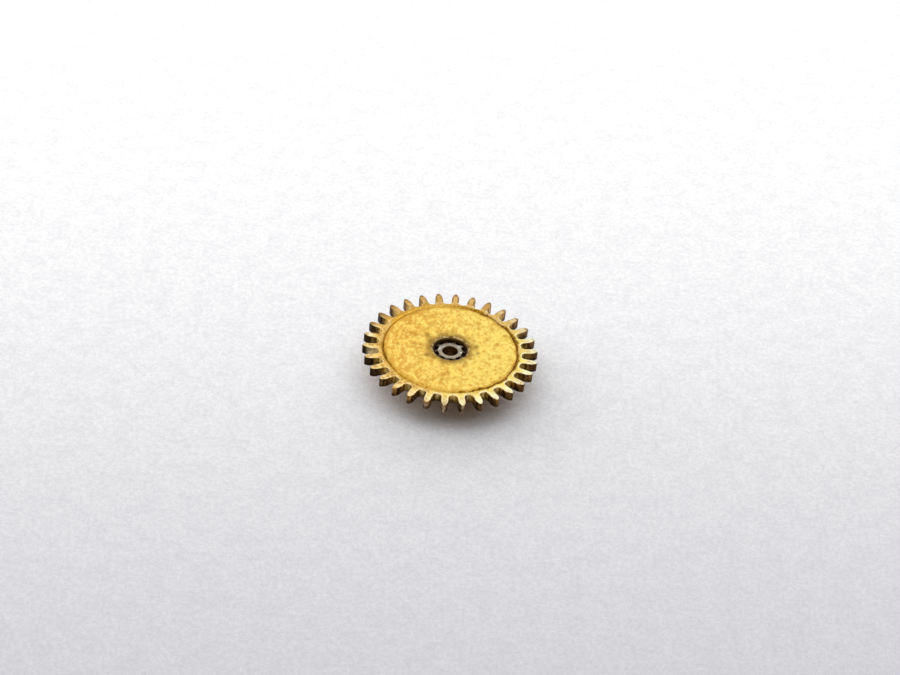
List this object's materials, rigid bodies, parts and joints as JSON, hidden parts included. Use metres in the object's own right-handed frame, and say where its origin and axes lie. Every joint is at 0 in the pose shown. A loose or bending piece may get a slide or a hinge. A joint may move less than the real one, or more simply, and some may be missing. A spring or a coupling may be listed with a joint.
{
  "type": "reversing wheel",
  "caption": "Reversing wheel of a self-winding watch: a toothed wheel that drives its hollow pinion one way and turns freely the other, through rocking pawls and a ratchet.",
  "frame": {"origin": "on the wheel's axis at the pinion's lower end, which is the lowest face of the part", "axes": "+Z along the axis, from the pinion's leaves to the cover disc; the two pawl pins are on the X axis, pawl_a's on +X"},
  "size_m": [0.005, 0.005, 0.0007],
  "materials": {
    "gilt_wheel": "gilt, cut edges bright, a little darker in the gullets",
    "gilt_cover": "gilt over a fine granular surface, matte",
    "pinion_steel": "hardened and polished steel",
    "pawl_steel": "hardened steel, fine ground"
  },
  "bodies": {
    "pinion": {"pinion": "pinion_steel", "ratchet_wheel": "pinion_steel"},
    "wheel": {"toothed_wheel": "gilt_wheel", "cover_disc": "gilt_cover", "pawl_pin_a": "pawl_steel", "pawl_pin_b": "pawl_steel"},
    "pawl_a": {"pawl_a": "pawl_steel"},
    "pawl_b": {"pawl_b": "pawl_steel"}
  },
  "joints": [
    {"name": "wheel_spin", "type": "hinge", "parent": "pinion", "child": "wheel", "pos_m": [0, 0, 0], "axis": [0, 0, 1], "continuous": true},
    {"name": "pawl_a_rock", "type": "hinge", "parent": "wheel", "child": "pawl_a", "pos_m": [0.00145, 0, 0], "axis": [0, 0, 1], "range_deg": [-8.1, 0]},
    {"name": "pawl_b_rock", "type": "hinge", "parent": "wheel", "child": "pawl_b", "pos_m": [-0.00145, 0, 0], "axis": [0, 0, 1], "range_deg": [-8.1, 0]}
  ]
}
